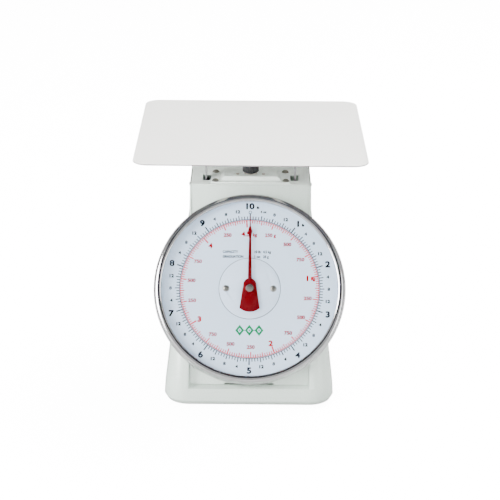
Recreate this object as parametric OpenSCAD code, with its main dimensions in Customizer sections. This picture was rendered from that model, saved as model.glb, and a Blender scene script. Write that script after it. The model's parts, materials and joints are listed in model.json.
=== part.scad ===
// Mechanical dial platform scale: a wedge-shaped pressed-steel body with a round dial on its sloping
// front, a flat weighing platform on two legs above it, and a spring, check-link and rack movement
// inside.  +X is to the right of someone reading the dial, -Y points at them and +Z is up.
// The origin is on the table, under the middle of the object's box.

/* [Platform] */
// Width of the weighing platform
platform_w = 250; // [220:1:260]
// Depth of the weighing platform
platform_d = 250; // [220:1:260]
// Thickness of the platform sheet
platform_t = 1.5; // [1.2:0.1:2]
// Radius of the platform's corners
platform_r = 17; // [10:1:30]
// Height of the platform's top face above the table
platform_z = 270; // [268:1:274]

/* [Body] */
// Height of the body's flat top above the table
body_top_z = 215; // [212:1:216]
// Width of the body's upright upper part
body_top_w = 136; // [136:0.5:140]
// Depth of the body's flat top
body_top_d = 68; // [66:0.5:72]
// Height at which the sides begin to flare out
flare_z = 184; // [176:1:194]
// Width of the body at the top of its skirt
skirt_top_w = 184; // [180:1:190]
// Greatest width of the skirt
skirt_w = 186; // [182:1:192]
// Height of the skirt's top edge, where the panels end
ledge_z = 22.5; // [20:0.5:25]
// Height of the skirt's lower edge above the table
skirt_z = 3; // [2:0.5:4]
// How far the dial and the front panel lean back
front_tilt = 31; // [29:0.5:32]
// How far the rear panel leans forward
rear_tilt = 9; // [7:0.5:10]
// Width of the front and rear panels
panel_w = 131.4; // [128:0.2:132]
// Thickness of the body's steel sheet
sheet = 1.2; // [1:0.1:1.4]
// Thickness of the front and rear panels
panel_t = 1.5; // [1.2:0.1:1.8]

/* [Dial] */
// Outer diameter of the bezel
bezel_d = 211.5; // [208:0.5:213]
// Distance down the front panel from its top edge to the dial's centre
dial_s = 118.7; // [117:0.1:119]
// Radius of the centre cover disc
disc_r = 33.5; // [30:0.5:38]

/* [Movement] */
// Travel of the platform from empty to full scale
travel = 20; // [16:1:20]
// Number of leaves of the pinion
pinion_teeth = 12; // [10:1:14]
// Length of the check links between their pivots
link_l = 26; // [25:1:28]
// Distance of the balance springs from the middle
spring_x = 28; // [26:1:30]
// Thread lead of the zero knob
zero_lead = 1; // [0.75:0.25:1.25]

/* [Hidden] */
$fn = 64;

eps = 0.02;
top_front_d = 25.8;
top_rear_d = body_top_d - top_front_d;
paint = [0.85, 0.87, 0.84];
zinc = [0.62, 0.61, 0.57];
steel = [0.72, 0.73, 0.74];
brass = [0.78, 0.63, 0.32];

// Skirt plan: how far it reaches in front of and behind the mechanism's axis
front_run = (body_top_z - ledge_z) * tan(front_tilt);
rear_run = (body_top_z - ledge_z) * tan(rear_tilt);
front_ledge = 9.3;
rear_ledge = 3.3;
skirt_y0 = -(top_front_d + front_run + front_ledge);
skirt_y1 = top_rear_d + rear_run + rear_ledge;
skirt_bulge = (skirt_w - skirt_top_w) / 2;
hem_z = 8;
hem_in = 3;
post_r = (body_top_w - panel_w) / 2;

// Mechanism levels
top_plate_t = 1.5;
plate_under_z = body_top_z - top_plate_t;
slot_x = 49.5;
leg_x = 50.2;
leg_t = 2;
leg_w = 16;
support_z = 260;
crossbar_z = 60;
bridge_h = 5.4;
bridge_sheet = 1.2;
bridge_top_z = body_top_z + bridge_h;
bridge_screw_x = 39.5;
bridge_screw_y = 16;
chassis_t = 2;
link_y = 21.5;
upper_link_z = 188;
lower_link_z = 86;
link_angle = atan(travel / 2 / link_l);
link_x = 47;
pin_r = 2;
run_fit = 0.05;
hanger_z = 195;

// Dial frame: origin on the front panel's outer face at the dial's centre, local +Z straight out
dial_y = -(top_front_d + dial_s * sin(front_tilt));
dial_z = body_top_z - dial_s * cos(front_tilt);
bezel_r = bezel_d / 2;
crown_z = 13;
crown_r = 5;
pan_z = 7.5;
pan_t = 0.8;
dial_plate_z = pan_z + pan_t;
dial_plate_t = 0.8;
dial_face_z = dial_plate_z + dial_plate_t;
shaft_r = 1.5;
dial_screw_x = 26;
move_front_z = -12;
move_rear_z = -31.5;
move_t = 1.5;
pillar_x = 22;
pillar_y = 19;

// Distance of the platform's and the mechanism's axis behind the origin
front_reach = -dial_y + (bezel_r - 6) * sin(front_tilt) + crown_z * cos(front_tilt) + crown_r;
mech_y = (front_reach - platform_d / 2) / 2;

// Rack and pinion: one turn of the pointer over the travel
pitch_r = travel * cos(front_tilt) / (2 * PI);
tooth_pitch = 2 * PI * pitch_r / pinion_teeth;
rack_z0 = -17;
rack_t = 3;
rack_back_x = 9;

// ---------- helpers ----------

// Moves children from the mechanism's axis to the model's frame
module placed() {
    translate([0, mech_y, 0]) children();
}

// Places children in the dial frame
module on_dial() {
    placed() translate([0, dial_y, dial_z]) rotate([90 - front_tilt, 0, 0]) children();
}

// Extrudes an outline given in (y, z) between two x values
module yz_prism(x0, x1, points) {
    translate([x0, 0, 0]) rotate([90, 0, 90]) linear_extrude(x1 - x0) polygon(points);
}

// Children and their mirror image in the plane x = 0
module both_sides() {
    children();
    mirror([1, 0, 0]) children();
}

// Flat rectangle with round corners, centred
module round_rect(w, d, r) {
    square([w - 2 * r, d], center = true);
    square([w, d - 2 * r], center = true);
    for (sx = [-1, 1], sy = [-1, 1])
        translate([sx * (w / 2 - r), sy * (d / 2 - r)]) circle(r);
}

module ring(r_out, r_in, h) {
    difference() {
        cylinder(r = r_out, h = h);
        translate([0, 0, -1]) cylinder(r = r_in, h = h + 2);
    }
}

// Dome-headed screw: underside of the head at z = 0, shank downwards
module dome_screw(head_r, head_h, shank_r, shank_l) {
    ball_r = (head_r * head_r + head_h * head_h) / (2 * head_h);
    difference() {
        intersection() {
            translate([0, 0, head_h - ball_r]) sphere(ball_r, $fn = 96);
            cylinder(r = head_r, h = head_h);
        }
        for (a = [0, 90])
            rotate([0, 0, a]) translate([-head_r * 0.55, -head_r * 0.12, head_h * 0.45])
                cube([head_r * 1.1, head_r * 0.24, head_h]);
    }
    translate([0, 0, -shank_l]) cylinder(r = shank_r, h = shank_l + eps);
}

// Hexagon nut, flat on z = 0
module hex_nut(across, bore_r, h) {
    difference() {
        cylinder(r = across / 2 / cos(30), h = h, $fn = 6);
        translate([0, 0, -1]) cylinder(r = bore_r, h = h + 2);
    }
}

// y of a panel's outer face at height z, shifted inwards by depth, for the front of the body
function plane_y(z, tilt, depth) =
    -(top_front_d + (body_top_z - z) * tan(tilt)) + depth / cos(tilt);

// Everything in front of a panel's plane shifted inwards by depth, between two heights
module before_plane(x0, x1, tilt, depth, z0, z1) {
    yz_prism(x0, x1, [
        [-300, z0], [plane_y(z0, tilt, depth), z0], [plane_y(z1, tilt, depth), z1], [-300, z1]
    ]);
}

// Turns children made for the front of the body to its rear
module at_rear() {
    translate([0, top_rear_d - top_front_d, 0]) mirror([0, 1, 0]) children();
}

// ---------- platform ----------

peg_x = 45;
peg_y = 66;
peg_r = 2.5;

module platform() {
    color([0.90, 0.90, 0.89]) placed() translate([0, 0, platform_z - platform_t])
        linear_extrude(platform_t) round_rect(platform_w, platform_d, platform_r);
}

// Pegs welded under the platform, which drop into the support's grommets
module platform_pegs() {
    color(steel) placed() for (sx = [-1, 1], sy = [-1, 1])
        translate([sx * peg_x, sy * peg_y, platform_z - platform_t - 12])
            cylinder(r = peg_r, h = 12);
}

rail_w = 16;
rail_l = 152;
grommet_h = platform_z - platform_t - support_z;

// Two rails under the platform, tied together in the middle
module platform_support() {
    color(zinc) placed() difference() {
        translate([0, 0, support_z - 2]) union() {
            for (sx = [-1, 1])
                translate([sx * peg_x - rail_w / 2, -rail_l / 2, 0]) cube([rail_w, rail_l, 2]);
            translate([-peg_x, -13, 0]) cube([2 * peg_x, 26, 2]);
        }
        for (sx = [-1, 1], sy = [-1, 1]) {
            translate([sx * peg_x, sy * peg_y, support_z - 3]) cylinder(r = 3.5, h = 4);
            translate([sx * peg_x, sy * 4, support_z - 3]) cylinder(r = 2.05, h = 4);
        }
    }
}

// Rubber grommets that carry the platform
module support_grommets() {
    color([0.12, 0.12, 0.12]) placed() for (sx = [-1, 1], sy = [-1, 1])
        translate([sx * peg_x, sy * peg_y, support_z]) ring(7, peg_r + 0.3, grommet_h);
}

// ---------- load carrier ----------

leg_foot = 12;

// Two flat legs that pass through the top plate's slots, bent inwards at the top
module load_legs() {
    color(steel) placed() both_sides() difference() {
        union() {
            translate([leg_x - leg_t / 2, -leg_w / 2, crossbar_z])
                cube([leg_t, leg_w, support_z - 2 - crossbar_z]);
            translate([leg_x + leg_t / 2 - leg_foot, -leg_w / 2, support_z - 4])
                cube([leg_foot, leg_w, 2]);
        }
        for (sy = [-1, 1])
            translate([peg_x, sy * 4, support_z - 5]) cylinder(r = 1.6, h = 4);
        for (z = [upper_link_z, lower_link_z])
            translate([leg_x - 2, link_y - link_l, z + travel / 2]) rotate([0, 90, 0])
                cylinder(r = pin_r, h = 4);
        for (sy = [-1, 1])
            translate([leg_x - 2, sy * 4, crossbar_z + 6]) rotate([0, 90, 0])
                cylinder(r = 1.5, h = 4);
    }
}

// Screws from above through the support's rails into the legs
module leg_screws() {
    color(zinc) placed() for (sx = [-1, 1], sy = [-1, 1])
        translate([sx * peg_x, sy * 4, support_z]) dome_screw(3.2, 2, 1.6, 4);
}

lug_h = 16;
lug_hole_z = crossbar_z + 11;
lug_slot = 1.8;

// Bar across the bottom of the legs, with a lug for each balance spring
module crossbar() {
    end_x = leg_x - leg_t / 2;
    color(steel) placed() difference() {
        union() {
            translate([-end_x, -leg_w / 2, crossbar_z]) cube([2 * end_x, leg_w, 2]);
            both_sides() {
                translate([end_x - 2, -leg_w / 2, crossbar_z]) cube([2, leg_w, 12]);
                translate([spring_x - 1, -5, crossbar_z]) cube([2, 10, lug_h]);
            }
        }
        both_sides() {
            for (drop = [0, lug_slot])
                translate([spring_x - 2, 0, lug_hole_z - drop]) rotate([0, 90, 0])
                    cylinder(r = 2.2, h = 4);
            translate([spring_x - 2, -2.2, lug_hole_z - lug_slot]) cube([4, 4.4, lug_slot]);
            for (sy = [-1, 1])
                translate([end_x - 3, sy * 4, crossbar_z + 6]) rotate([0, 90, 0])
                    cylinder(r = 1.5, h = 6);
        }
        for (sx = [-1, 1])
            translate([sx * 5, -4, crossbar_z - 1]) cylinder(r = 1.5, h = 4);
    }
}

module crossbar_rivets() {
    color(zinc) placed() both_sides() {
        for (sy = [-1, 1])
            translate([leg_x + leg_t / 2, sy * 4, crossbar_z + 6]) rotate([0, 90, 0]) {
                cylinder(r = 2.6, h = 1.2);
                translate([0, 0, -4.5]) cylinder(r = 1.5, h = 4.6);
            }
        translate([5, -4, crossbar_z + 2]) {
            cylinder(r = 2.6, h = 1.2);
            translate([0, 0, -4.5]) cylinder(r = 1.5, h = 4.6);
        }
    }
}

// Stub pins in the legs that run in the check links' slots
module leg_link_pins() {
    color(steel) placed() both_sides() for (z = [upper_link_z, lower_link_z])
        translate([leg_x + leg_t / 2, link_y - link_l, z + travel / 2]) rotate([0, 90, 0]) {
            cylinder(r = 3.2, h = 1.2);
            translate([0, 0, -5.6]) cylinder(r = pin_r, h = 5.7);
        }
}

rack_foot_y = -38;
arm_t = 1.5;

// Position in the mechanism's (y, z) plane of a point of the dial frame
function from_dial(y, z) = [
    dial_y + y * sin(front_tilt) - z * cos(front_tilt),
    dial_z + y * cos(front_tilt) + z * sin(front_tilt)
];

// Strip that carries the rack: forwards under the crossbar, then up the slope behind the rack's foot
module rack_arm() {
    back_top = from_dial(rack_foot_y + 10, rack_z0 - arm_t);
    face_top = from_dial(rack_foot_y + 10, rack_z0);
    inner_y = back_top[0] - (back_top[1] - crossbar_z) * tan(front_tilt);
    outer_y = face_top[0] - (face_top[1] - crossbar_z + 2) * tan(front_tilt);
    color(steel) difference() {
        placed() yz_prism(-8, 10, [
            [leg_w / 2, crossbar_z - 2], [leg_w / 2, crossbar_z], [inner_y, crossbar_z],
            back_top, face_top, [outer_y, crossbar_z - 2]
        ]);
        placed() for (sx = [-1, 1])
            translate([sx * 5, -4, crossbar_z - 3]) cylinder(r = 1.5, h = 4);
        at_rack_screws() translate([0, 0, -3]) cylinder(r = 1, h = 4);
    }
}

// Places children at the screws through the rack's foot, at the rack's back face
module at_rack_screws() {
    on_dial() for (y = [2.5, 7]) translate([6, rack_foot_y + y, rack_z0]) children();
}

// Rack in outline: straight-sided teeth along local y with their tips towards -x
module rack_outline() {
    tip_x = pitch_r - 0.36;
    root_x = pitch_r + 0.55;
    last = round(travel * cos(front_tilt) / tooth_pitch) + 3;
    teeth = [for (i = [-3:last], k = [0:3]) let (y = (i + 0.5) * tooth_pitch)
        [k == 0 || k == 3 ? root_x : tip_x, y + [-0.36, -0.13, 0.13, 0.36][k]]];
    polygon(concat(
        [[rack_back_x, rack_foot_y], [root_x, rack_foot_y]],
        teeth,
        [[root_x, rack_foot_y + 66], [rack_back_x, rack_foot_y + 66]]
    ));
}

module rack() {
    color(brass) difference() {
        on_dial() translate([0, 0, rack_z0]) linear_extrude(rack_t) rack_outline();
        at_rack_screws() translate([0, 0, -1]) cylinder(r = 1, h = rack_t + 2);
    }
}

module rack_screws() {
    color(zinc) at_rack_screws() translate([0, 0, rack_t]) dome_screw(1.8, 1, 1, rack_t + 2);
}

// ---------- body ----------

// Thin horizontal slice of the body's outline, for hulls
module slab(z, half_w, y0, y1, r) {
    for (sx = [-1, 1]) {
        translate([sx * (half_w - r), y0 + r, z]) cylinder(r = r, h = eps, $fn = 48);
        translate([sx * (half_w - r), y1 - r, z]) cylinder(r = r, h = eps, $fn = 48);
    }
}

// The body's outer form, or its hollow when inset by the sheet's thickness
module body_form(inset) {
    rise = body_top_z - flare_z;
    share = rise / (body_top_z - ledge_z);
    grow_front = (-skirt_y0 - top_front_d) * share;
    grow_rear = (skirt_y1 - top_rear_d) * share;
    top_w2 = body_top_w / 2 - inset;
    small_r = max(post_r - inset, 0.8);
    corner_r = skirt_top_w / 2 - panel_w / 2 - inset;
    open_z = inset > 0 ? 1 : 0;
    hull() {
        slab(body_top_z - eps + open_z, top_w2, -top_front_d + inset, top_rear_d - inset, small_r);
        slab(flare_z, top_w2, -top_front_d - grow_front + inset,
             top_rear_d + grow_rear - inset, small_r);
    }
    hull() {
        slab(flare_z, top_w2, -top_front_d - grow_front + inset,
             top_rear_d + grow_rear - inset, small_r);
        slab(ledge_z, skirt_top_w / 2 - inset, skirt_y0 + inset, skirt_y1 - inset, corner_r);
    }
    hull() {
        slab(ledge_z, skirt_top_w / 2 - inset, skirt_y0 + inset, skirt_y1 - inset, corner_r);
        slab(hem_z, skirt_w / 2 - inset, skirt_y0 - skirt_bulge + inset,
             skirt_y1 + skirt_bulge - inset, corner_r + skirt_bulge);
        slab(skirt_z - open_z, skirt_w / 2 - hem_in - inset, skirt_y0 - skirt_bulge + hem_in + inset,
             skirt_y1 + skirt_bulge - hem_in - inset, corner_r + skirt_bulge - hem_in);
    }
}

// Return flanges, lips and ledge around one panel opening, kept when the body is hollowed
module panel_frame(tilt) {
    half = panel_w / 2;
    both_sides() {
        before_plane(half, half + sheet, tilt, panel_t + sheet, ledge_z - sheet, body_top_z - 2);
        difference() {
            before_plane(half - 6, half + sheet, tilt, panel_t + sheet, ledge_z - sheet,
                         body_top_z - 2);
            before_plane(half - 7, half, tilt, panel_t, ledge_z, body_top_z);
        }
    }
    before_plane(-half - sheet, half + sheet, tilt, panel_t + sheet, ledge_z - sheet, ledge_z);
}

tab_y = [-104, 44];

module housing_shell() {
    half = panel_w / 2;
    color(paint) difference() {
        placed() difference() {
            body_form(0);
            difference() {
                body_form(sheet);
                panel_frame(front_tilt);
                at_rear() panel_frame(rear_tilt);
            }
            before_plane(-half, half, front_tilt, panel_t, ledge_z, body_top_z + 1);
            at_rear() before_plane(-half, half, rear_tilt, panel_t, ledge_z, body_top_z + 1);
            both_sides() translate([body_top_w / 2 - 3, -6, body_top_z - 6]) rotate([0, 90, 0])
                cylinder(r = 1.6, h = 6);
        }
        at_rear_screws() translate([0, 0, -8]) cylinder(r = 1.5, h = 9);
    }
    color(paint) placed() both_sides() for (y = tab_y) difference() {
        translate([skirt_w / 2 - 17, y - 8, 6]) cube([15.2, 16, 1.5]);
        translate([skirt_w / 2 - 11, y, 5]) cylinder(r = 1.5, h = 4);
    }
}

panel_gap = 0.4;

module front_panel() {
    bottom = -((body_top_z - ledge_z) / cos(front_tilt) - dial_s) + 1.2;
    color(paint) on_dial() difference() {
        translate([-panel_w / 2 + panel_gap, bottom, -panel_t])
            cube([panel_w - 2 * panel_gap, dial_s - bottom, panel_t]);
        translate([-27, bottom - 1, -panel_t - 1]) cube([54, 2.4, panel_t + 2]);
        for (sx = [-1, 1])
            translate([sx * (panel_w / 2 - 1.2), bottom, -panel_t - 1])
                cylinder(r = 1.6, h = panel_t + 2);
        translate([0, 0, -panel_t - 1]) cylinder(r = 14, h = panel_t + 2);
        for (sx = [-1, 1])
            translate([sx * dial_screw_x, 0, -panel_t - 1]) cylinder(r = 2.1, h = panel_t + 2);
    }
}

rear_screw_z = [10, 184];

// Places children at each corner screw of the rear panel, local +Z straight out
module at_rear_screws() {
    placed() at_rear() translate([0, -top_front_d, body_top_z])
        rotate([90 - rear_tilt, 0, 0]) for (sx = [-1, 1], s = rear_screw_z)
            translate([sx * (panel_w / 2 - 3.2), -s, 0]) children();
}

module rear_panel() {
    long = (body_top_z - ledge_z) / cos(rear_tilt) - 0.6;
    color(paint) difference() {
        placed() at_rear() translate([0, -top_front_d, body_top_z])
            rotate([90 - rear_tilt, 0, 0]) translate([-panel_w / 2 + panel_gap, -long, -panel_t])
                cube([panel_w - 2 * panel_gap, long, panel_t]);
        at_rear_screws() translate([0, 0, -panel_t - 1]) cylinder(r = 1.6, h = panel_t + 2);
    }
}

module rear_panel_screws() {
    color(zinc) at_rear_screws() dome_screw(3, 1.8, 1.5, 6);
}

// Flat top with a slot for each leg and an opening under the bridge
module top_plate() {
    plate_w = body_top_w - 2 * sheet - 0.6;
    plate_d = body_top_d - 3.6;
    color(paint) placed() difference() {
        union() {
            translate([-plate_w / 2, -top_front_d + 1.8, plate_under_z])
                cube([plate_w, plate_d, top_plate_t]);
            both_sides() translate([plate_w / 2 - 1.2, -20, body_top_z - 14])
                cube([1.2, 40, 12.6]);
        }
        both_sides() {
            translate([slot_x - 4.5, -11, plate_under_z - 1]) cube([9, 22, 4]);
            translate([slot_x - 7.5, -4, plate_under_z - 1]) cube([4, 8, 4]);
            for (sy = [-1, 1])
                translate([bridge_screw_x, sy * bridge_screw_y, plate_under_z - 1])
                    cylinder(r = 2.1, h = 4);
            translate([plate_w / 2 - 3, -6, body_top_z - 6]) rotate([0, 90, 0])
                cylinder(r = 1.5, h = 6);
        }
        translate([-25, -9, plate_under_z - 1]) cube([50, 18, 4]);
    }
}

module top_plate_screws() {
    color(zinc) placed() both_sides() translate([body_top_w / 2, -6, body_top_z - 6])
        rotate([0, 90, 0]) dome_screw(3, 1.6, 1.5, 7);
}

// Raised pressed bridge that carries the zero knob
module mechanism_bridge() {
    color(paint) placed() translate([0, 0, body_top_z]) difference() {
        union() {
            translate([-44.3, -21.5, 0]) cube([88.6, 43, bridge_sheet]);
            hull() {
                translate([-34, -14.5, 0]) cube([68, 29, 1]);
                translate([-30, -13, bridge_h - eps]) cube([60, 26, eps]);
            }
        }
        hull() {
            translate([-32.5, -13.2, -1]) cube([65, 26.4, 1.5]);
            translate([-29.5, -12, bridge_h - bridge_sheet]) cube([59, 24, eps]);
        }
        translate([0, 0, -1]) cylinder(r = 3.6, h = bridge_h + 2);
        for (sx = [-1, 1]) {
            translate([sx * 14.7, -5, 0]) cylinder(r = 1.25, h = bridge_h + 1);
            for (sy = [-1, 1])
                translate([sx * bridge_screw_x, sy * bridge_screw_y, -1])
                    cylinder(r = 2.1, h = 4);
        }
    }
}

module bridge_screws() {
    color([0.57, 0.56, 0.51]) placed() for (sx = [-1, 1], sy = [-1, 1])
        translate([sx * bridge_screw_x, sy * bridge_screw_y, body_top_z + bridge_sheet])
            dome_screw(4.2, 2.6, 2, 9);
}

module bridge_nuts() {
    color(zinc) placed() for (sx = [-1, 1], sy = [-1, 1])
        translate([sx * bridge_screw_x, sy * bridge_screw_y, plate_under_z - chassis_t - 3])
            hex_nut(6, 2, 3);
}

// Two small rivets beside the zero knob
module bridge_rivets() {
    color(zinc) placed() for (sx = [-1, 1])
        translate([sx * 14.7, -5, bridge_top_z]) {
            cylinder(r = 2, h = 0.8);
            translate([0, 0, -2]) cylinder(r = 1.25, h = 2.1);
        }
}

// ---------- base ----------

base_x = skirt_w / 2 - hem_in - 0.6;
base_y0 = skirt_y0 - skirt_bulge + 4.2 - 0.1;
base_y1 = skirt_y1 + skirt_bulge - 4.2 + 0.1;
base_z = 4.5;
base_t = 1.5;
foot_x = 70;
foot_y = [-122, 50];

module base_plate() {
    depth = base_y1 - base_y0;
    color([0.80, 0.82, 0.80]) placed() difference() {
        translate([0, (base_y0 + base_y1) / 2, base_z])
            linear_extrude(base_t) round_rect(2 * base_x - 0.6, depth - 0.6, 22);
        both_sides() {
            for (y = tab_y)
                translate([skirt_w / 2 - 11, y, base_z - 1]) cylinder(r = 1.6, h = 4);
            for (y = foot_y)
                translate([foot_x, y, base_z - 1]) cylinder(r = 1.7, h = 4);
        }
    }
}

module base_screws() {
    color(zinc) placed() both_sides() for (y = tab_y)
        translate([skirt_w / 2 - 11, y, base_z]) mirror([0, 0, 1]) dome_screw(3, 1.8, 1.5, 4.5);
}

module rubber_feet() {
    color([0.13, 0.13, 0.13]) placed() both_sides() for (y = foot_y)
        translate([foot_x, y, 0]) difference() {
            union() {
                cylinder(r = 8, h = 1.5);
                translate([0, 0, 1.5]) cylinder(r = 9, h = base_z - 1.5);
            }
            translate([0, 0, -1]) cylinder(r = 4, h = 3);
            cylinder(r = 1.7, h = base_z + 1);
        }
}

module feet_screws() {
    color(zinc) placed() both_sides() for (y = foot_y)
        translate([foot_x, y, 2]) mirror([0, 0, 1]) dome_screw(3.4, 1.6, 1.6, 6);
}

// ---------- mechanism frame ----------

upright_x = 43;
upright_y = [17.5, 27];

// Pressed frame: top flanges bolted under the top plate, uprights and a rear web
module chassis() {
    top_z = plate_under_z;
    low_z = lower_link_z - 8;
    color(steel) placed() difference() {
        union() {
            both_sides() {
                yz_prism(upright_x, upright_x + chassis_t, [
                    [-20, top_z], [20, top_z], [24.5, top_z - 12], [26, top_z - 24],
                    [upright_y[1], top_z - 38], [upright_y[1], low_z], [upright_y[0], low_z],
                    [upright_y[0], top_z - 9], [12, top_z - 5], [-20, top_z - 5]
                ]);
                translate([34, -20, top_z - chassis_t]) cube([upright_x - 34 + 1, 40, chassis_t]);
            }
            translate([-upright_x, upright_y[1] - chassis_t, 112])
                cube([2 * upright_x, chassis_t, 62]);
        }
        both_sides() for (sy = [-1, 1])
            translate([bridge_screw_x, sy * bridge_screw_y, top_z - 4]) cylinder(r = 2.1, h = 5);
        for (z = [upper_link_z, lower_link_z])
            translate([-50, link_y, z]) rotate([0, 90, 0]) cylinder(r = pin_r, h = 100);
    }
}

// Rods on which the check links turn
module link_pivot_rods() {
    color(steel) placed() for (z = [upper_link_z, lower_link_z])
        translate([-49.5, link_y, z]) rotate([0, 90, 0]) cylinder(r = pin_r, h = 99);
}

// Spring clips on the ends of the rods
module pivot_clips() {
    color(zinc) placed() both_sides() for (z = [upper_link_z, lower_link_z])
        translate([48.4, link_y, z]) rotate([0, 90, 0]) ring(3.6, pin_r, 0.7);
}

// U-shaped link: two arms outside the uprights and a web in front of them, at its rest angle
module check_link(z) {
    arm_h = 8;
    color([0.66, 0.67, 0.68]) placed() translate([0, link_y, z]) rotate([-link_angle, 0, 0])
        difference() {
            union() {
                both_sides() translate([link_x - 1, -link_l - 6, -arm_h / 2])
                    cube([2, link_l + 9, arm_h]);
                translate([-link_x, -12.5, -arm_h / 2]) cube([2 * link_x, 5, 2]);
            }
            translate([-60, 0, 0]) rotate([0, 90, 0]) cylinder(r = pin_r + run_fit, h = 120);
            both_sides() translate([link_x - 2, -link_l - 4.3, -2.4]) cube([4, 7, 4.8]);
        }
}

module upper_check_link() {
    check_link(upper_link_z);
}

module lower_check_link() {
    check_link(lower_link_z);
}

// ---------- balance springs and zero setting ----------

wire_r = 0.9;
coil_r = 7;
coil_pitch = 2.2;
coil_top = hanger_z - 12;
coil_bottom = lug_hole_z + 12;

// Close-wound extension spring with an upright loop at each end, wound round x = spring_x
module balance_spring() {
    turns = floor((coil_top - coil_bottom) / coil_pitch);
    loop_r = 5;
    translate([spring_x, 0, 0]) {
        rotate_extrude($fn = 48) {
            for (i = [0:turns])
                translate([coil_r, coil_bottom + i * coil_pitch]) circle(wire_r, $fn = 16);
            translate([coil_r - 0.35, coil_bottom]) square([0.7, turns * coil_pitch]);
        }
        for (end = [[lug_hole_z + loop_r - 1, coil_bottom],
                    [hanger_z - 5 - loop_r + 1, coil_bottom + turns * coil_pitch]]) {
            translate([0, 0, end[0]]) rotate([90, 0, 0])
                rotate_extrude($fn = 48) translate([loop_r, 0]) circle(wire_r, $fn = 16);
            near = end[0] < end[1] ? end[0] + loop_r - 0.3 : end[0] - loop_r + 0.3;
            translate([0, 0, min(near, end[1])]) cylinder(r = wire_r, h = abs(end[1] - near));
            translate([-coil_r, 0, end[1]]) rotate([0, 90, 0])
                cylinder(r = wire_r * 0.9, h = 2 * coil_r);
        }
    }
}

module right_spring() {
    color([0.50, 0.51, 0.53]) placed() balance_spring();
}

module left_spring() {
    color([0.50, 0.51, 0.53]) placed() mirror([1, 0, 0]) balance_spring();
}

// Bar from which the springs hang
module spring_hanger() {
    color(steel) placed() difference() {
        union() {
            translate([-spring_x - 5, -6, hanger_z]) cube([2 * spring_x + 10, 12, 3]);
            both_sides() translate([spring_x - 1, -5, hanger_z - 9]) cube([2, 10, 9 + eps]);
        }
        both_sides() translate([spring_x - 2, 0, hanger_z - 5]) rotate([0, 90, 0])
            cylinder(r = 2.2, h = 4);
    }
}

// Threaded rod fixed in the hanger, drawn up by the knob
module zero_screw() {
    color(steel) placed() translate([0, 0, hanger_z + 3])
        cylinder(r = 3, h = bridge_top_z + 10.5 - hanger_z - 3);
}

knob_r = 9.2;
knob_h = 10;
knob_z = bridge_top_z + 1.05;

// Knurled nut that sets the pointer to zero
module zero_knob() {
    notches = 24;
    color([0.20, 0.21, 0.22]) placed() translate([0, 0, knob_z]) difference() {
        union() {
            cylinder(r = 6, h = 1.5);
            translate([0, 0, 1.5]) cylinder(r = knob_r, h = knob_h - 1.5);
        }
        translate([0, 0, -1]) cylinder(r = 3 + run_fit, h = knob_h + 2);
        for (i = [0:notches - 1])
            rotate([0, 0, i * 360 / notches]) translate([knob_r + 0.35, 0, 1])
                cylinder(r = 0.9, h = knob_h, $fn = 8);
    }
}

module knob_washer() {
    color(zinc) placed() translate([0, 0, bridge_top_z]) ring(7.5, 3.6, 1);
}

// ---------- dial ----------

// Stepped round pan: its middle rests on the front panel and its raised rim carries the dial
module dial_pan() {
    wall_r = bezel_r - 3;
    color([0.80, 0.81, 0.80]) on_dial() difference() {
        union() {
            rotate_extrude($fn = 128) polygon([
                [14, 0], [61, 0], [63, pan_z], [wall_r, pan_z], [wall_r, 12.5],
                [wall_r - 1, 12.5], [wall_r - 1, pan_z + pan_t], [62.2, pan_z + pan_t],
                [60.2, pan_t], [14, pan_t]
            ]);
            for (sx = [-1, 1])
                translate([sx * dial_screw_x, 0, 0]) cylinder(r = 4, h = dial_plate_z);
        }
        for (sx = [-1, 1])
            translate([sx * dial_screw_x, 0, -1]) cylinder(r = 2, h = dial_plate_z + 2);
    }
}

module dial_plate() {
    color([0.82, 0.86, 0.90]) on_dial() translate([0, 0, dial_plate_z]) difference() {
        cylinder(r = bezel_r - 4.2, h = dial_plate_t, $fn = 128);
        translate([0, 0, -1]) cylinder(r = 6, h = 3);
        for (sx = [-1, 1])
            translate([sx * dial_screw_x, 0, -1]) cylinder(r = 2, h = 3);
    }
}

// Cover disc over the dial's central hole
module centre_disc() {
    color([0.81, 0.85, 0.89]) on_dial() translate([0, 0, dial_face_z]) difference() {
        cylinder(r = disc_r, h = 0.5, $fn = 128);
        translate([0, 0, -1]) cylinder(r = 3, h = 3);
        for (sx = [-1, 1])
            translate([sx * dial_screw_x, 0, -1]) cylinder(r = 2, h = 3);
    }
}

module dial_screws() {
    color(zinc) on_dial() for (sx = [-1, 1])
        translate([sx * dial_screw_x, 0, dial_face_z + 0.5]) dome_screw(3.7, 1.5, 2, 18);
}

// Tapped sleeves between the front panel and the movement's front plate
module dial_standoffs() {
    height = -panel_t - move_front_z;
    color(steel) on_dial() for (sx = [-1, 1])
        translate([sx * dial_screw_x, 0, move_front_z]) ring(4, 2, height);
}

// Polished rim that snaps over the pan and holds the lens
module bezel_ring() {
    lip_r = bezel_r - 9;
    steps = 7;
    crown = [for (i = [0:steps]) let (a = i * 90 / steps)
        [bezel_r - 6 + crown_r * cos(a), crown_z + crown_r * sin(a)]];
    color([0.80, 0.80, 0.80]) on_dial() rotate_extrude($fn = 128) polygon(concat(
        [[bezel_r - 2.8, pan_z + 0.2], [bezel_r, pan_z + 0.2], [bezel_r, pan_z + 1.4],
         [bezel_r - 1, pan_z + 2.2]],
        crown,
        [[lip_r + 1.2, 17.6], [lip_r, 16.6], [lip_r, 15.4], [bezel_r - 6, 15.4],
         [bezel_r - 2.8, 13.2]]
    ));
}

lens_r = bezel_r - 6.2;
lens_z = 13.5;

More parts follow.
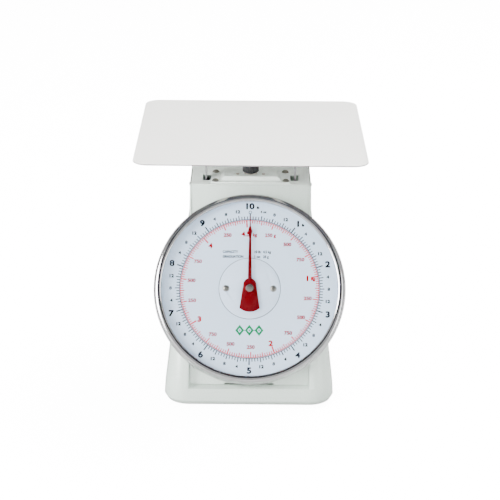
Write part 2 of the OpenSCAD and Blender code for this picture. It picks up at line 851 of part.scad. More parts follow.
// Slightly domed clear window
module lens() {
    rise = 2.6;
    steps = 9;
    outer = [for (i = [0:steps]) let (q = i / steps)
        [lens_r * (1 - q), lens_z + 1.5 + rise * (1 - pow(1 - q, 4))]];
    inner = [for (i = [steps:-1:0]) let (q = i / steps)
        [lens_r * (1 - q), lens_z + rise * (1 - pow(1 - q, 4))]];
    color([0.9, 0.95, 1.0, 0.35]) on_dial() rotate_extrude($fn = 128)
        polygon(concat(outer, inner));
}

// Rubber ring that seats the lens
module lens_gasket() {
    color([0.30, 0.31, 0.33]) on_dial() translate([0, 0, dial_face_z])
        ring(lens_r, lens_r - 2, lens_z - dial_face_z);
}

// ---------- movement ----------

module movement_blank(z) {
    translate([-30, -24, z]) cube([60, 48, move_t]);
}

module movement_front_plate() {
    color(brass) on_dial() difference() {
        movement_blank(move_front_z - move_t);
        translate([0, 0, move_front_z - 3]) cylinder(r = 3, h = 4);
        for (sx = [-1, 1]) {
            translate([sx * dial_screw_x, 0, move_front_z - 3]) cylinder(r = 2, h = 4);
            for (sy = [-1, 1])
                translate([sx * pillar_x, sy * pillar_y, move_front_z - 3])
                    cylinder(r = 1.3, h = 4);
        }
        translate([rack_back_x + 3.4, 0, move_front_z - 3]) cylinder(r = 1.5, h = 4);
    }
}

module movement_rear_plate() {
    color(brass) on_dial() difference() {
        movement_blank(move_rear_z);
        translate([0, 0, move_rear_z - 1]) cylinder(r = 3, h = 4);
        for (sx = [-1, 1], sy = [-1, 1])
            translate([sx * pillar_x, sy * pillar_y, move_rear_z - 1]) cylinder(r = 1.3, h = 4);
        translate([rack_back_x + 3.4, 0, move_rear_z - 1]) cylinder(r = 1.5, h = 4);
    }
}

pillar_z0 = move_rear_z + move_t;
pillar_l = move_front_z - move_t - pillar_z0;

module movement_pillars() {
    color(brass) on_dial() for (sx = [-1, 1], sy = [-1, 1])
        translate([sx * pillar_x, sy * pillar_y, pillar_z0]) cylinder(r = 2.8, h = pillar_l);
}

module movement_screws() {
    color(zinc) on_dial() for (sx = [-1, 1], sy = [-1, 1])
        translate([sx * pillar_x, sy * pillar_y, 0]) {
            translate([0, 0, move_front_z]) dome_screw(2.4, 1.4, 1.3, move_t);
            translate([0, 0, move_rear_z]) mirror([0, 0, 1]) dome_screw(2.4, 1.4, 1.3, move_t);
        }
    color(zinc) on_dial() for (sx = [-1, 1])
        translate([sx * dial_screw_x, 0, move_front_z - move_t]) mirror([0, 0, 1])
            dome_screw(3.2, 1.6, 2, 4.5);
}

// Flanged bearings for the pointer's shaft
module shaft_bushes() {
    color([0.72, 0.55, 0.25]) on_dial() {
        translate([0, 0, move_front_z - move_t]) ring(3, shaft_r + run_fit, move_t);
        translate([0, 0, move_front_z]) ring(4.5, shaft_r + run_fit, 1);
        translate([0, 0, move_rear_z]) ring(3, shaft_r + run_fit, move_t);
        translate([0, 0, move_rear_z - 1]) ring(4.5, shaft_r + run_fit, 1);
    }
}

// Keeps the rack's back against the pinion
module rack_guide_pin() {
    color(steel) on_dial() translate([rack_back_x + 3.4, 0, move_rear_z])
        cylinder(r = 1.5, h = move_front_z - move_rear_z);
}

module rack_guide_roller() {
    color([0.90, 0.89, 0.85]) on_dial() translate([rack_back_x + 3.4, 0, pillar_z0 + 0.4])
        ring(3.1, 1.5 + run_fit, pillar_l - 0.8);
}

pointer_z = dial_face_z + 2.6;

module pointer_shaft() {
    color(steel) on_dial() {
        translate([0, 0, move_rear_z - 3]) cylinder(r = shaft_r, h = pointer_z + 0.6 - move_rear_z + 3);
        translate([0, 0, move_rear_z - 3]) cylinder(r = 2.6, h = 1.6);
    }
}

// Long pinion, so that the rack can slide along it as it comes down
module pinion() {
    root_r = pitch_r - 0.62;
    tip_r = pitch_r + 0.38;
    color(brass) on_dial() translate([0, 0, pillar_z0 + 0.5]) linear_extrude(pillar_l - 1)
        difference() {
            union() {
                circle(root_r);
                for (i = [0:pinion_teeth - 1])
                    rotate(i * 360 / pinion_teeth) polygon([
                        [root_r - 0.3, -0.30], [pitch_r, -0.21], [tip_r, -0.09],
                        [tip_r, 0.09], [pitch_r, 0.21], [root_r - 0.3, 0.30]
                    ]);
            }
            circle(shaft_r);
        }
}

// Needle with a spade tip and a broad counterweight tail
module pointer() {
    tail_r = 16.8;
    tail_y = -9.4;
    color([0.60, 0.10, 0.16]) on_dial() translate([0, 0, pointer_z]) {
        linear_extrude(0.6) difference() {
            union() {
                translate([0, 3.9]) circle(7);
                polygon([[-6.95, 3.9], [6.95, 3.9], [11.1, -22], [-11.1, -22]]);
                intersection() {
                    translate([0, tail_y]) circle(tail_r);
                    translate([-11.1, -30]) square([22.2, 8 + eps]);
                }
                polygon([[-2.1, 8], [2.1, 8], [1.2, 58], [-1.2, 58]]);
                polygon([
                    [-1.2, 57], [1.2, 57], [2.45, 63.5], [0.6, 70], [0.25, 81], [-0.25, 81],
                    [-0.6, 70], [-2.45, 63.5]
                ]);
            }
            circle(shaft_r);
        }
        translate([0, 0, -1]) ring(4, shaft_r, 1);
    }
}

module pointer_screw() {
    color([0.75, 0.75, 0.75]) on_dial() translate([0, 0, pointer_z + 0.6]) difference() {
        cylinder(r = 4.2, h = 1.7);
        translate([-5, -0.5, 1]) cube([10, 1, 1]);
    }
}

platform();
platform_pegs();
platform_support();
support_grommets();
load_legs();
leg_screws();
crossbar();
crossbar_rivets();
leg_link_pins();
rack_arm();
rack();
rack_screws();
housing_shell();
front_panel();
rear_panel();
rear_panel_screws();
top_plate();
top_plate_screws();
mechanism_bridge();
bridge_screws();
bridge_nuts();
bridge_rivets();
base_plate();
base_screws();
rubber_feet();
feet_screws();
chassis();
link_pivot_rods();
pivot_clips();
upper_check_link();
lower_check_link();
left_spring();
right_spring();
spring_hanger();
zero_screw();
zero_knob();
knob_washer();
dial_pan();
dial_plate();
centre_disc();
dial_screws();
dial_standoffs();
bezel_ring();
lens();
lens_gasket();
movement_front_plate();
movement_rear_plate();
movement_pillars();
movement_screws();
shaft_bushes();
rack_guide_pin();
rack_guide_roller();
pointer_shaft();
pinion();
pointer();
pointer_screw();
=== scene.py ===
import bmesh
import bpy
import json
import math
from mathutils import Matrix, Vector

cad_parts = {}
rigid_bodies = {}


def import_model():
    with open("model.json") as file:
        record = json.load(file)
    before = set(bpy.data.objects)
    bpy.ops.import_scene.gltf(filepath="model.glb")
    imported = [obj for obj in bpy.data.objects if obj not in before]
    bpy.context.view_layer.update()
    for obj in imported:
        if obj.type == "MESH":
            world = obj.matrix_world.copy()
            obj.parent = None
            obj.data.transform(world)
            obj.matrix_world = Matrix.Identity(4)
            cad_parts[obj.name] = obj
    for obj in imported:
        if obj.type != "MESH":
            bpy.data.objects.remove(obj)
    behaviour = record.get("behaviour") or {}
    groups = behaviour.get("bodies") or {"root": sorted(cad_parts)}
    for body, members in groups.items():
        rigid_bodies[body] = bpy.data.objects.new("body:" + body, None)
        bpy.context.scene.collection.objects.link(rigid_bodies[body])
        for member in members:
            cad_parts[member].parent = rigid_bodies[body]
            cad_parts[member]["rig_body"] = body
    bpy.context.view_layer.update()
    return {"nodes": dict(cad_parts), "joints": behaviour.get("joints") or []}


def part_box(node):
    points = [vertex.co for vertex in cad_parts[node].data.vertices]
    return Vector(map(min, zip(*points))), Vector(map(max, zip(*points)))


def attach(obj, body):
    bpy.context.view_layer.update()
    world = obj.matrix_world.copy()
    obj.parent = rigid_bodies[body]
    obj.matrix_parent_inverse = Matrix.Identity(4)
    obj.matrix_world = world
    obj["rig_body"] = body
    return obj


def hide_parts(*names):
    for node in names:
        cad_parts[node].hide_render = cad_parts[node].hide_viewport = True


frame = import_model()


nodes = frame["nodes"]
scene = bpy.context.scene
MM = 0.001


# ---------- materials ----------

def material(name, base, rough, metal=0.0, vary=0.05, patch=9.0, grain=700.0, bump=0.1,
             stretch=(1, 1, 1), coat=0.0, spec=0.5, rough_vary=0.05):
    """A surface with a soft large-scale tone change and a fine grain in its gloss and relief.

    patch and grain are the scales of the tone change and of the grain, vary and rough_vary how
    far tone and roughness wander, and stretch draws the grain out into brush marks."""
    mat = bpy.data.materials.new(name)
    mat.use_nodes = True
    tree = mat.node_tree
    new, link = tree.nodes.new, tree.links.new
    bsdf = tree.nodes["Principled BSDF"]
    where = new("ShaderNodeTexCoord")
    mapping = new("ShaderNodeMapping")
    mapping.inputs["Scale"].default_value = stretch
    link(where.outputs["Object"], mapping.inputs["Vector"])
    broad = new("ShaderNodeTexNoise")
    broad.inputs["Scale"].default_value = patch
    broad.inputs["Detail"].default_value = 3.0
    link(where.outputs["Object"], broad.inputs["Vector"])
    fine = new("ShaderNodeTexNoise")
    fine.inputs["Scale"].default_value = grain
    fine.inputs["Detail"].default_value = 5.0
    fine.inputs["Roughness"].default_value = 0.6
    link(mapping.outputs["Vector"], fine.inputs["Vector"])
    both = new("ShaderNodeMath")
    both.operation = "MULTIPLY_ADD"
    both.inputs[1].default_value = 0.35
    link(fine.outputs["Fac"], both.inputs[0])
    link(broad.outputs["Fac"], both.inputs[2])
    ramp = new("ShaderNodeValToRGB")
    low, high = ramp.color_ramp.elements
    low.position, high.position = 0.35, 0.95
    low.color = (*[c * (1 - vary) for c in base], 1)
    high.color = (*[min(1.0, c * (1 + vary * 0.6)) for c in base], 1)
    link(both.outputs[0], ramp.inputs["Fac"])
    link(ramp.outputs["Color"], bsdf.inputs["Base Color"])
    spread = new("ShaderNodeMapRange")
    spread.inputs["From Min"].default_value = 0.3
    spread.inputs["From Max"].default_value = 0.7
    spread.inputs["To Min"].default_value = max(0.02, rough - rough_vary)
    spread.inputs["To Max"].default_value = rough + rough_vary
    link(fine.outputs["Fac"], spread.inputs["Value"])
    link(spread.outputs["Result"], bsdf.inputs["Roughness"])
    relief = new("ShaderNodeBump")
    relief.inputs["Strength"].default_value = bump
    relief.inputs["Distance"].default_value = 0.05 * MM
    link(fine.outputs["Fac"], relief.inputs["Height"])
    link(relief.outputs["Normal"], bsdf.inputs["Normal"])
    bsdf.inputs["Metallic"].default_value = metal
    bsdf.inputs["Specular IOR Level"].default_value = spec
    bsdf.inputs["Coat Weight"].default_value = coat
    bsdf.inputs["Coat Roughness"].default_value = 0.12
    return mat


def bare_metal(name, base, rough, **more):
    return material(name, base, rough, metal=1.0, **more)


def ink(name, base, vary=0.1):
    """Flat printing ink, with no shine of its own under the lens."""
    return material(name, base, 0.6, vary=vary, patch=200, grain=2500, spec=0.0)


enamel = material("enamel", (0.668, 0.765, 0.698), 0.27, vary=0.03, grain=900, coat=0.6)
# painted light: a lighter copy of the body's enamel, for the top plate and bridge that sit in the
# platform's shade
enamel_painted_light = material("enamel_painted_light", (0.85, 0.93, 0.87), 0.36, vary=0.03, grain=900, coat=0.1)
enamel_inside = material("enamel_inside", (0.50, 0.53, 0.50), 0.5, grain=900)
platform_enamel = material("platform_enamel", (0.90, 0.89, 0.85), 0.36, vary=0.015, grain=800,
                           bump=0.06)
# painted shade: a dark copy of the enamel for the platform's upright edge faces, standing in for
# the shade along its edge
platform_edge_painted_shade = material("platform_edge_painted_shade", (0.22, 0.19, 0.205), 0.45, vary=0.08, patch=40, grain=800)
zinc = bare_metal("zinc", (0.60, 0.585, 0.53), 0.32, vary=0.10, patch=60, grain=1500, bump=0.25)
screw_zinc = bare_metal("screw_zinc", (0.36, 0.35, 0.31), 0.42, vary=0.18, patch=90, grain=1500,
                        bump=0.3)
steel = bare_metal("steel", (0.55, 0.56, 0.57), 0.36, vary=0.10, patch=30, grain=900,
                   stretch=(1, 1, 0.06), bump=0.3)
spring_steel = bare_metal("spring_steel", (0.36, 0.37, 0.39), 0.30, vary=0.12, patch=50,
                          grain=1800)
brass = bare_metal("brass", (0.73, 0.55, 0.24), 0.28, vary=0.08, patch=40, grain=1100,
                   stretch=(0.08, 1, 1), bump=0.25)
polished = bare_metal("polished", (0.74, 0.74, 0.75), 0.10, vary=0.03, patch=20, grain=1400,
                      bump=0.04, rough_vary=0.03)
dial_white = material("dial_white", (0.60, 0.73, 0.88), 0.55, vary=0.012, grain=1200, bump=0.03)
disc_white = material("disc_white", (0.61, 0.73, 0.87), 0.5, vary=0.012, grain=1200, bump=0.03)
red_enamel = material("red_enamel", (0.115, 0.0004, 0.003), 0.36, vary=0.12, patch=40, grain=900,
                      spec=0.04)
knob_black = material("knob_black", (0.018, 0.019, 0.021), 0.42, vary=0.2, patch=60, grain=1500,
                      bump=0.3)
rubber = material("rubber", (0.02, 0.02, 0.021), 0.75, vary=0.2, patch=60, grain=1300, bump=0.5)
gasket = material("gasket", (0.33, 0.35, 0.38), 0.6, vary=0.1, patch=60, grain=1300, bump=0.3)
nylon = material("nylon", (0.78, 0.76, 0.70), 0.5, grain=1200)
ink_black = ink("ink_black", (0.008, 0.013, 0.024), vary=0.15)
ink_soft = ink("ink_soft", (0.025, 0.033, 0.05))
ink_line = ink("ink_line", (0.09, 0.11, 0.14))
ink_red = ink("ink_red", (0.60, 0.003, 0.008), vary=0.08)
ink_rose = ink("ink_rose", (0.56, 0.006, 0.012), vary=0.08)
ink_green = ink("ink_green", (0.0, 0.20, 0.075))


def clear_lens():
    """Clear plastic: mostly see-through, with a faint uneven gloss."""
    mat = bpy.data.materials.new("lens_clear")
    mat.use_nodes = True
    tree = mat.node_tree
    new, link = tree.nodes.new, tree.links.new
    tree.nodes.clear()
    where = new("ShaderNodeTexCoord")
    ripple = new("ShaderNodeTexNoise")
    ripple.inputs["Scale"].default_value = 30.0
    link(where.outputs["Object"], ripple.inputs["Vector"])
    spread = new("ShaderNodeMapRange")
    spread.inputs["To Min"].default_value = 0.02
    spread.inputs["To Max"].default_value = 0.08
    link(ripple.outputs["Fac"], spread.inputs["Value"])
    through = new("ShaderNodeBsdfTransparent")
    through.inputs["Color"].default_value = (0.985, 0.99, 1.0, 1)
    gloss = new("ShaderNodeBsdfGlossy")
    gloss.inputs["Color"].default_value = (1, 1, 1, 1)
    link(spread.outputs["Result"], gloss.inputs["Roughness"])
    mix = new("ShaderNodeMixShader")
    mix.inputs["Fac"].default_value = 0.012
    link(through.outputs["BSDF"], mix.inputs[1])
    link(gloss.outputs["BSDF"], mix.inputs[2])
    out = new("ShaderNodeOutputMaterial")
    link(mix.outputs["Shader"], out.inputs["Surface"])
    return mat


lens_clear = clear_lens()


# ---------- geometry helpers ----------

def add(name, data):
    obj = bpy.data.objects.new(name, data)
    scene.collection.objects.link(obj)
    return obj


def evaluated_mesh(obj):
    bpy.context.view_layer.update()
    return bpy.data.meshes.new_from_object(
        obj.evaluated_get(bpy.context.evaluated_depsgraph_get()))


def shade_by_angle(mesh, degrees):
    """Smooth faces with sharp edges wherever two faces meet at more than this angle."""
    bm = bmesh.new()
    bm.from_mesh(mesh)
    limit = math.radians(degrees)
    for face in bm.faces:
        face.smooth = True
    for edge in bm.edges:
        if len(edge.link_faces) == 2:
            edge.smooth = edge.calc_face_angle(0.0) < limit
    bm.to_mesh(mesh)
    bm.free()


def show(node, mat):
    """A CAD node as it is, with its own finish."""
    mesh = nodes[node].data
    mesh.materials.clear()
    mesh.materials.append(mat)


def finish_piece(obj, node, mat):
    """Hands a piece over to the CAD node it stands for."""
    obj.data.materials.clear()
    obj.data.materials.append(mat)
    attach(obj, nodes[node]["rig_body"])
    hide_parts(node)
    return obj


def eased(node, mat, width=0.25, segments=2, angle=30):
    """A copy of a CAD node with its sharp edges slightly rounded inwards.

    The rounding is width millimetres wide, on edges that turn by more than angle degrees."""
    bm = bmesh.new()
    bm.from_mesh(nodes[node].data)
    bmesh.ops.remove_doubles(bm, verts=bm.verts, dist=2e-6)
    bmesh.ops.dissolve_limit(bm, angle_limit=math.radians(0.4), verts=bm.verts, edges=bm.edges)
    mesh = bpy.data.meshes.new(node + "_eased")
    bm.to_mesh(mesh)
    bm.free()
    obj = add(node + "_look", mesh)
    bevel = obj.modifiers.new("ease", "BEVEL")
    bevel.width = width * MM
    bevel.segments = segments
    bevel.limit_method = "ANGLE"
    bevel.angle_limit = math.radians(angle)
    bevel.use_clamp_overlap = True
    done = evaluated_mesh(obj)
    obj.modifiers.clear()
    obj.data = done
    shade_by_angle(done, 28)
    return finish_piece(obj, node, mat)


# The dial's frame: x to the right, y up the dial, z out of its face, from the pointer's axis
spin = [j for j in frame["joints"] if j["name"] == "pointer_spin"][0]
dial_normal = -Vector(spin["axis"]).normalized()
dial_up = dial_normal.cross(Vector((1, 0, 0)))
to_dial = Matrix((
    (1, dial_up[0], dial_normal[0], spin["pos_m"][0]),
    (0, dial_up[1], dial_normal[1], spin["pos_m"][1]),
    (0, dial_up[2], dial_normal[2], spin["pos_m"][2]),
    (0, 0, 0, 1),
))
from_dial = to_dial.inverted()


def dial_reach(node):
    """(largest radius, lowest, highest) of a node in the dial's frame, in millimetres."""
    points = [from_dial @ v.co for v in nodes[node].data.vertices]
    return (max(math.hypot(p.x, p.y) for p in points) / MM,
            min(p.z for p in points) / MM, max(p.z for p in points) / MM)


def lathe(name, profile, steps):
    """Turns a closed outline of (radius, height) points, in millimetres, about the dial's axis."""
    bm = bmesh.new()
    rings = []
    for i in range(steps):
        a = 2 * math.pi * i / steps
        c, s = math.cos(a), math.sin(a)
        rings.append([bm.verts.new(to_dial @ Vector((r * c * MM, r * s * MM, z * MM)))
                      for r, z in profile])
    count = len(profile)
    for i in range(steps):
        one, two = rings[i], rings[(i + 1) % steps]
        for k in range(count):
            after = (k + 1) % count
            bm.faces.new((one[k], two[k], two[after], one[after]))
    bmesh.ops.recalc_face_normals(bm, faces=bm.faces)
    mesh = bpy.data.meshes.new(name)
    bm.to_mesh(mesh)
    bm.free()
    shade_by_angle(mesh, 40)
    return add(name, mesh)


# ---------- the dial's print ----------

print_z = dial_reach("dial_plate")[2] + 0.06
FONT_DIGIT = 0.73  # height of the font's digits at size 1
BOLD_STEPS = [math.radians(d) for d in range(0, 360, 45)]


class Print:
    """Flat shapes of one ink on the dial, in millimetres in the dial's frame."""

    def __init__(self, name, mat):
        self.name, self.mat = name, mat
        self.bm = bmesh.new()

    def quad(self, points):
        self.bm.faces.new([self.bm.verts.new((x, y, 0)) for x, y in points])

    def tick(self, turn, r0, r1, width):
        """A mark from r0 to r1 at a share of a turn clockwise from the top."""
        a = 2 * math.pi * turn
        out = Vector((math.sin(a), math.cos(a)))
        side = Vector((out.y, -out.x)) * width / 2
        self.quad([out * r0 - side, out * r1 - side, out * r1 + side, out * r0 + side])

    def ring(self, radius, width, steps=240, centre=(0, 0)):
        r0, r1 = radius - width / 2, radius + width / 2
        for i in range(steps):
            a, b = (2 * math.pi * k / steps for k in (i, i + 1))
            self.quad([(centre[0] + r * math.sin(t), centre[1] + r * math.cos(t))
                       for r, t in ((r0, a), (r1, a), (r1, b), (r0, b))])

    def text(self, words, x, y, height, bold, squeeze=1.0, align="CENTER"):
        """Words with digits of this height, centred on (x, y) or starting there.

        They are laid down several times, each shifted by bold millimetres another way, which
        thickens the strokes. squeeze makes them wider, or narrower where it is below 1."""
        curve = bpy.data.curves.new("words", "FONT")
        curve.body = words
        curve.size = 1.0
        curve.offset = 0.008
        curve.resolution_u = 5
        holder = add("words", curve)
        mesh = evaluated_mesh(holder)
        bpy.data.objects.remove(holder)
        xs = [v.co.x for v in mesh.vertices]
        scale = height / FONT_DIGIT
        start = (min(xs) + max(xs)) / 2 if align == "CENTER" else min(xs)
        mesh.transform(Matrix.Translation((x, y, 0))
                       @ Matrix.Diagonal((scale * squeeze, scale, 1, 1))
                       @ Matrix.Translation((-start, -FONT_DIGIT / 2, 0)))
        for v in mesh.vertices:
            v.co.z = 0
        if words.startswith(("4", "8")):
            bold *= 0.6  # keeps the small openings of these figures clear
        done = (0, 0)
        for a in BOLD_STEPS:
            shift = (bold * math.cos(a), bold * math.sin(a))
            mesh.transform(Matrix.Translation((shift[0] - done[0], shift[1] - done[1], 0)))
            self.bm.from_mesh(mesh)
            done = shift
        bpy.data.meshes.remove(mesh)

    def lay(self):
        """Makes the piece that carries this ink's shapes."""
        mesh = bpy.data.meshes.new(self.name)
        bmesh.ops.transform(self.bm, verts=self.bm.verts,
                            matrix=to_dial @ Matrix.Translation((0, 0, print_z * MM))
                            @ Matrix.Diagonal((MM, MM, MM, 1)))
        self.bm.to_mesh(mesh)
        self.bm.free()
        mesh.materials.append(self.mat)
        obj = add(self.name, mesh)
        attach(obj, "housing")


def around(turn, radius):
    """The point at a share of a turn clockwise from the top."""
    a = 2 * math.pi * turn
    return radius * math.sin(a), radius * math.cos(a)


def mark_size(value, marks):
    """(length, width) of the mark at a value: of the first kind whose spacing divides it."""
    return next((length, width) for every, length, width in marks if value % every == 0)


black = Print("print_black", ink_black)
soft = Print("print_soft", ink_soft)
line = Print("print_line", ink_line)
red = Print("print_red", ink_red)
rose = Print("print_rose", ink_rose)
green = Print("print_green", ink_green)

# The outer scale, in ounces: ten pounds to a turn, marks that stand outwards on a ring
OUNCES = 160
POUND = 16
OUNCE_R = 77.2
OUNCE_MARKS = ((POUND, 7.2, 1.35), (4, 5.0, 1.1), (1, 3.5, 1.0))  # spacing, length, width
OUNCE_FIGURE_R = 87.0
POUND_FIGURE_R = 90.2
TOP_FIGURE_R = 92.4
for ounce in range(OUNCES):
    turn = ounce / OUNCES
    length, width = mark_size(ounce, OUNCE_MARKS)
    soft.tick(turn, OUNCE_R, OUNCE_R + length, width)
    if ounce % POUND == 0:
        figure_r = TOP_FIGURE_R if ounce == 0 else POUND_FIGURE_R
        black.text(str(ounce // POUND or 10), *around(turn, figure_r), 6.5, 0.42, squeeze=1.22)
    elif ounce % 4 == 0 and ounce != 4:
        black.text(str(ounce % POUND), *around(turn, OUNCE_FIGURE_R), 3.4, 0.30, squeeze=1.2)
line.ring(OUNCE_R, 0.9)
# painted shade: a dark ring printed just outside the centre disc, standing in for the shadow line
# along its edge
line.ring(dial_reach("centre_disc")[0] + 0.3, 0.7)
black.text("4 oz", *around(4.3 / OUNCES, 87.2), 2.7, 0.26)
black.text("lb", 8.6, 90.8, 2.6, 0.28)
one_pound = around(POUND / OUNCES, POUND_FIGURE_R)
black.text("lb", one_pound[0] + 5.6, one_pound[1] - 1.6, 2.6, 0.28)

# The zero mark: a small ring on a line
line.ring(1.5, 0.8, steps=24, centre=(0, 85.3))
line.tick(0, 77.4, 83.8, 0.9)

# The inner scale, in grams: marks that stand inwards from a ring, up to 4.5 kg
TURN_GRAMS = 4535.92
LAST_GRAMS = 4500
GRAM_R = 76.1
GRAM_MARKS = ((LAST_GRAMS, 7.8, 1.5), (1000, 7.6, 1.4), (250, 6.0, 1.2), (125, 4.4, 1.04),
              (25, 3.2, 0.98))
GRAM_FIGURE_R = 64.6
rose.ring(GRAM_R, 0.7)
for grams in range(0, LAST_GRAMS + 25, 25):
    length, width = mark_size(grams or 250, GRAM_MARKS)
    pen = red if width > 1.1 else rose
    pen.tick(grams / TURN_GRAMS, GRAM_R - length, GRAM_R, width)
for grams in range(250, LAST_GRAMS, 250):
    spot = around(grams / TURN_GRAMS, GRAM_FIGURE_R)
    if grams % 1000 == 0:
        red.text(str(grams // 1000), *spot, 5.6, 0.42, squeeze=1.18)
    elif grams == 250:
        rose.text("250 g", spot[0] + 0.6, spot[1] - 1.0, 3.8, 0.17, squeeze=1.05)
    else:
        rose.text(str(grams % 1000), *spot, 3.8, 0.22, squeeze=1.12)
one_kilo = around(1000 / TURN_GRAMS, 65.2)
red.text("kg", one_kilo[0] + 5.6, one_kilo[1] - 0.6, 3.4, 0.36)
red.text("4.5", -4.9, 61.0, 5.2, 0.40, squeeze=1.1)
red.text("kg", 5.4, 60.2, 3.6, 0.2)

# Small print above the centre disc
for words, x, y, squeeze in (("CAPACITY", -30.0, 41.0, 0.90), ("10 lb:  4.5 kg", 5.2, 41.0, 0.90),
                             ("GRADUATION", -30.0, 35.6, 0.88), ("1 oz:   25 g", 5.2, 35.6, 0.90)):
    black.text(words, x, y, 2.9, 0.14, squeeze=squeeze, align="LEFT")

# A plain ornament below it: three hollow lozenges with a small one inside each, and two dots
ORNAMENT_Y = -46.3
LOZENGE_STEP = 10.6
LOZENGE_W, LOZENGE_H = 4.9, 6.2
LOZENGE_HOLE = 0.42
CORNERS = ((-1, 0), (0, 1), (1, 0), (0, -1))
for k in (-1, 0, 1):
    cx = k * LOZENGE_STEP
    for a, b in zip(CORNERS, CORNERS[1:] + CORNERS[:1]):
        green.quad([(cx + LOZENGE_W * share * c[0], ORNAMENT_Y + LOZENGE_H * share * c[1])
                    for c, share in ((a, 1), (b, 1), (b, LOZENGE_HOLE), (a, LOZENGE_HOLE))])
    green.quad([(cx + 1.0 * c[0], ORNAMENT_Y + 1.3 * c[1]) for c in CORNERS])
for k in (-1, 1):
    x0, x1 = k * LOZENGE_STEP / 2 - 0.6, k * LOZENGE_STEP / 2 + 0.6
    y0, y1 = ORNAMENT_Y - 0.5, ORNAMENT_Y + 0.5
    green.quad([(x0, y0), (x1, y0), (x1, y1), (x0, y1)])

for layer in (black, soft, line, red, rose, green):
    layer.lay()


# ---------- pieces of the dial ----------

show("dial_plate", dial_white)
eased("centre_disc", disc_white, width=0.12)

# The rim's section: a small flange at the back, a round crown, and a lip that turns inwards
rim_r, rim_low, rim_high = dial_reach("bezel_ring")
CROWN_R = 4.96
flange = [(2.8, 0.0), (0.35, 0.0), (0.05, 0.3), (0.05, 0.9), (0.35, 1.25), (0.9, 1.7), (1.05, 2.3)]
lip = [(7.4, 0.35), (8.3, 0.75), (8.85, 1.3), (9.0, 1.9), (8.8, 2.4), (8.4, 2.6), (6.0, 2.6),
       (2.8, 4.8)]
profile = [(rim_r - inwards, rim_low + up) for inwards, up in flange]
profile += [(rim_r - 6.0 + CROWN_R * math.cos(a), rim_high - 5.0 + CROWN_R * math.sin(a))
            for a in (math.radians(d) for d in range(0, 100, 6))]
profile += [(rim_r - inwards, rim_high - down) for inwards, down in lip]
finish_piece(lathe("bezel_look", profile, steps=256), "bezel_ring", polished)
show("lens", lens_clear)
show("lens_gasket", gasket)
show("dial_pan", enamel_inside)
eased("pointer", red_enamel, width=0.08)
eased("pointer_screw", zinc)
eased("dial_screws", screw_zinc, width=0.12)


# ---------- body, platform and everything else ----------

platform_look = eased("platform", platform_enamel, width=0.5, segments=3)
# painted shade: faces of the platform that stand nearly upright take the dark edge material
platform_look.data.materials.append(platform_edge_painted_shade)
for face in platform_look.data.polygons:
    if abs(face.normal.z) < 0.3:
        face.material_index = 1
eased("housing_shell", enamel, width=0.5, angle=35)
eased("front_panel", enamel, width=0.35)
eased("rear_panel", enamel, width=0.35)
# painted light: the top plate and bridge take the lighter enamel copy, which lifts them out of the
# platform's shade
eased("top_plate", enamel_painted_light, width=0.3)
eased("mechanism_bridge", enamel_painted_light, width=0.6, segments=3)
eased("zero_knob", knob_black)
eased("bridge_screws", screw_zinc, width=0.12)
eased("load_legs", steel)

finishes = {
    "base_plate": enamel_inside, "platform_support": zinc, "platform_pegs": steel,
    "support_grommets": rubber, "leg_screws": zinc, "crossbar": steel, "crossbar_rivets": zinc,
    "leg_link_pins": steel, "rack_arm": steel, "rack": brass, "rack_screws": zinc,
    "rear_panel_screws": zinc, "top_plate_screws": zinc, "bridge_nuts": zinc,
    "bridge_rivets": zinc, "base_screws": zinc, "rubber_feet": rubber, "feet_screws": zinc,
    "chassis": steel, "link_pivot_rods": steel, "pivot_clips": zinc, "upper_check_link": steel,
    "lower_check_link": steel, "left_spring": spring_steel, "right_spring": spring_steel,
    "spring_hanger": steel, "zero_screw": steel, "knob_washer": zinc, "dial_standoffs": steel,
    "movement_front_plate": brass, "movement_rear_plate": brass, "movement_pillars": brass,
    "movement_screws": zinc, "shaft_bushes": brass, "rack_guide_pin": steel,
    "rack_guide_roller": nylon, "pointer_shaft": steel, "pinion": brass,
}
for node, mat in finishes.items():
    show(node, mat)


# ---------- stage ----------

low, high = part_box("platform")
middle = (low + high) / 2


def sheet(name, mat, corners):
    mesh = bpy.data.meshes.new(name)
    mesh.from_pydata(corners, [], [tuple(range(len(corners)))])
    mesh.materials.append(mat)
    obj = add(name, mesh)
    return obj


# A floor and four walls of white light that only the camera sees, and a table that throws light
# back from below and that the camera doesn't see
STUDIO = 12
TABLE = 3
TABLE_Z = -0.002
floor_mat = material("floor_pale", (0.90, 0.90, 0.90), 0.7, vary=0.01, patch=2, grain=300,
                     bump=0.02)
glow = floor_mat.node_tree.nodes["Principled BSDF"].inputs
glow["Emission Color"].default_value = (1, 1, 1, 1)
glow["Emission Strength"].default_value = 13.0
table_mat = material("table_grey", (0.62, 0.62, 0.62), 0.6, patch=2, grain=300, bump=0.02)
square = ((-1, -1), (1, -1), (1, 1), (-1, 1))
plan = [(x * STUDIO, y * STUDIO) for x, y in square]
floor = sheet("floor", floor_mat, [(x, y, 0) for x, y in plan])
back = plan[::-1]
walls = [sheet("backdrop_%d" % i, floor_mat, [(*a, 0), (*b, 0), (*b, STUDIO), (*a, STUDIO)])
         for i, (a, b) in enumerate(zip(back, back[1:] + back[:1]))]
for obj in [floor] + walls:
    obj.visible_diffuse = False
    obj.visible_glossy = False
for obj in walls:
    obj.visible_shadow = False
table = sheet("table", table_mat, [(x * TABLE, y * TABLE, TABLE_Z) for x, y in square])
table.visible_camera = False
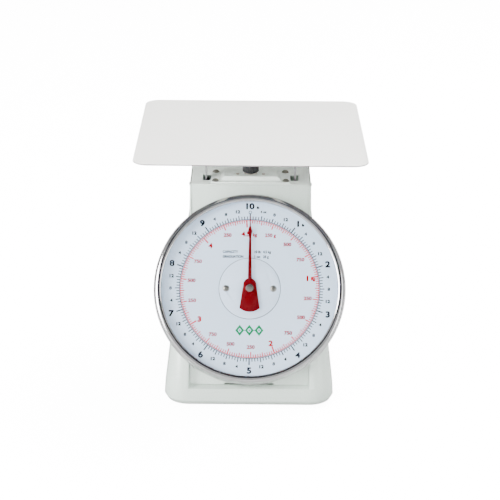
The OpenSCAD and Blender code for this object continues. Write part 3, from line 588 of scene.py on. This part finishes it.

# Painted reflections: cards that only the polished parts see, one high in front that darkens what
# they reflect there and one just under the platform for its shaded underside: each runs from (y0,
# z0) to (y1, z1) and reaches half_w to both sides
card_dark = material("card_dark", (0.03, 0.03, 0.034), 0.9, vary=0.1, patch=2, grain=200,
                     spec=0.0)
card_grey = material("card_grey", (0.17, 0.17, 0.175), 0.9, vary=0.1, patch=2, grain=200,
                     spec=0.0)
under = low.z - 0.9 * MM
for name, mat, half_w, y0, z0, y1, z1 in (("card_high", card_dark, 0.8, -1.6, 1.22, 0.4, 1.62),
                                          ("card_low", card_grey, 0.21, -0.13, under, 0.16, under)):
    card = sheet(name, mat, [(-half_w, y0, z0), (half_w, y0, z0), (half_w, y1, z1),
                             (-half_w, y1, z1)])
    card.visible_camera = False
    card.visible_diffuse = False
    card.visible_shadow = False

world = bpy.data.worlds.new("studio")
world.use_nodes = True
world.node_tree.nodes["Background"].inputs["Color"].default_value = (1.0, 1.0, 1.0, 1)
world.node_tree.nodes["Background"].inputs["Strength"].default_value = 0.55
scene.world = world


def lamp(name, place, aim_z, width, height, power):
    """An area light that looks at the point aim_z above the floor's middle."""
    light = bpy.data.lights.new(name, "AREA")
    light.shape = "RECTANGLE"
    light.size, light.size_y = width, height
    light.energy = power
    obj = add(name, light)
    obj.location = place
    away = Vector((0, 0, aim_z)) - Vector(place)
    obj.rotation_euler = away.to_track_quat("-Z", "Y").to_euler()
    return obj


lamp("key", (-1.28, -0.66, 0.62), 0.12, 0.8, 0.9, 50)
front = lamp("front", (-0.1, -2.2, 0.86), 0.14, 1.6, 0.7, 54)
front.visible_glossy = False
lamp("strip", (1.3, -0.9, 0.5), 0.15, 0.25, 1.2, 6)
lamp("overhead", (0.8, 0.9, 2.1), 0.2, 1.6, 1.6, 190)

# A long lens a little under two metres away, which looks down on the platform
CAMERA_BACK = 1.724
CAMERA_ABOVE = 0.520
CAMERA_DOWN = 21.04
CAMERA_ROLL = 0.48
camera = add("camera", bpy.data.cameras.new("camera"))
camera.data.sensor_width = 36.0
camera.data.lens = 115.4
camera.location = (0.0, middle.y - CAMERA_BACK, high.z + CAMERA_ABOVE)
camera.rotation_euler = (Matrix.Rotation(math.radians(90 - CAMERA_DOWN), 3, "X")
                         @ Matrix.Rotation(math.radians(CAMERA_ROLL), 3, "Z")).to_euler()
scene.camera = camera
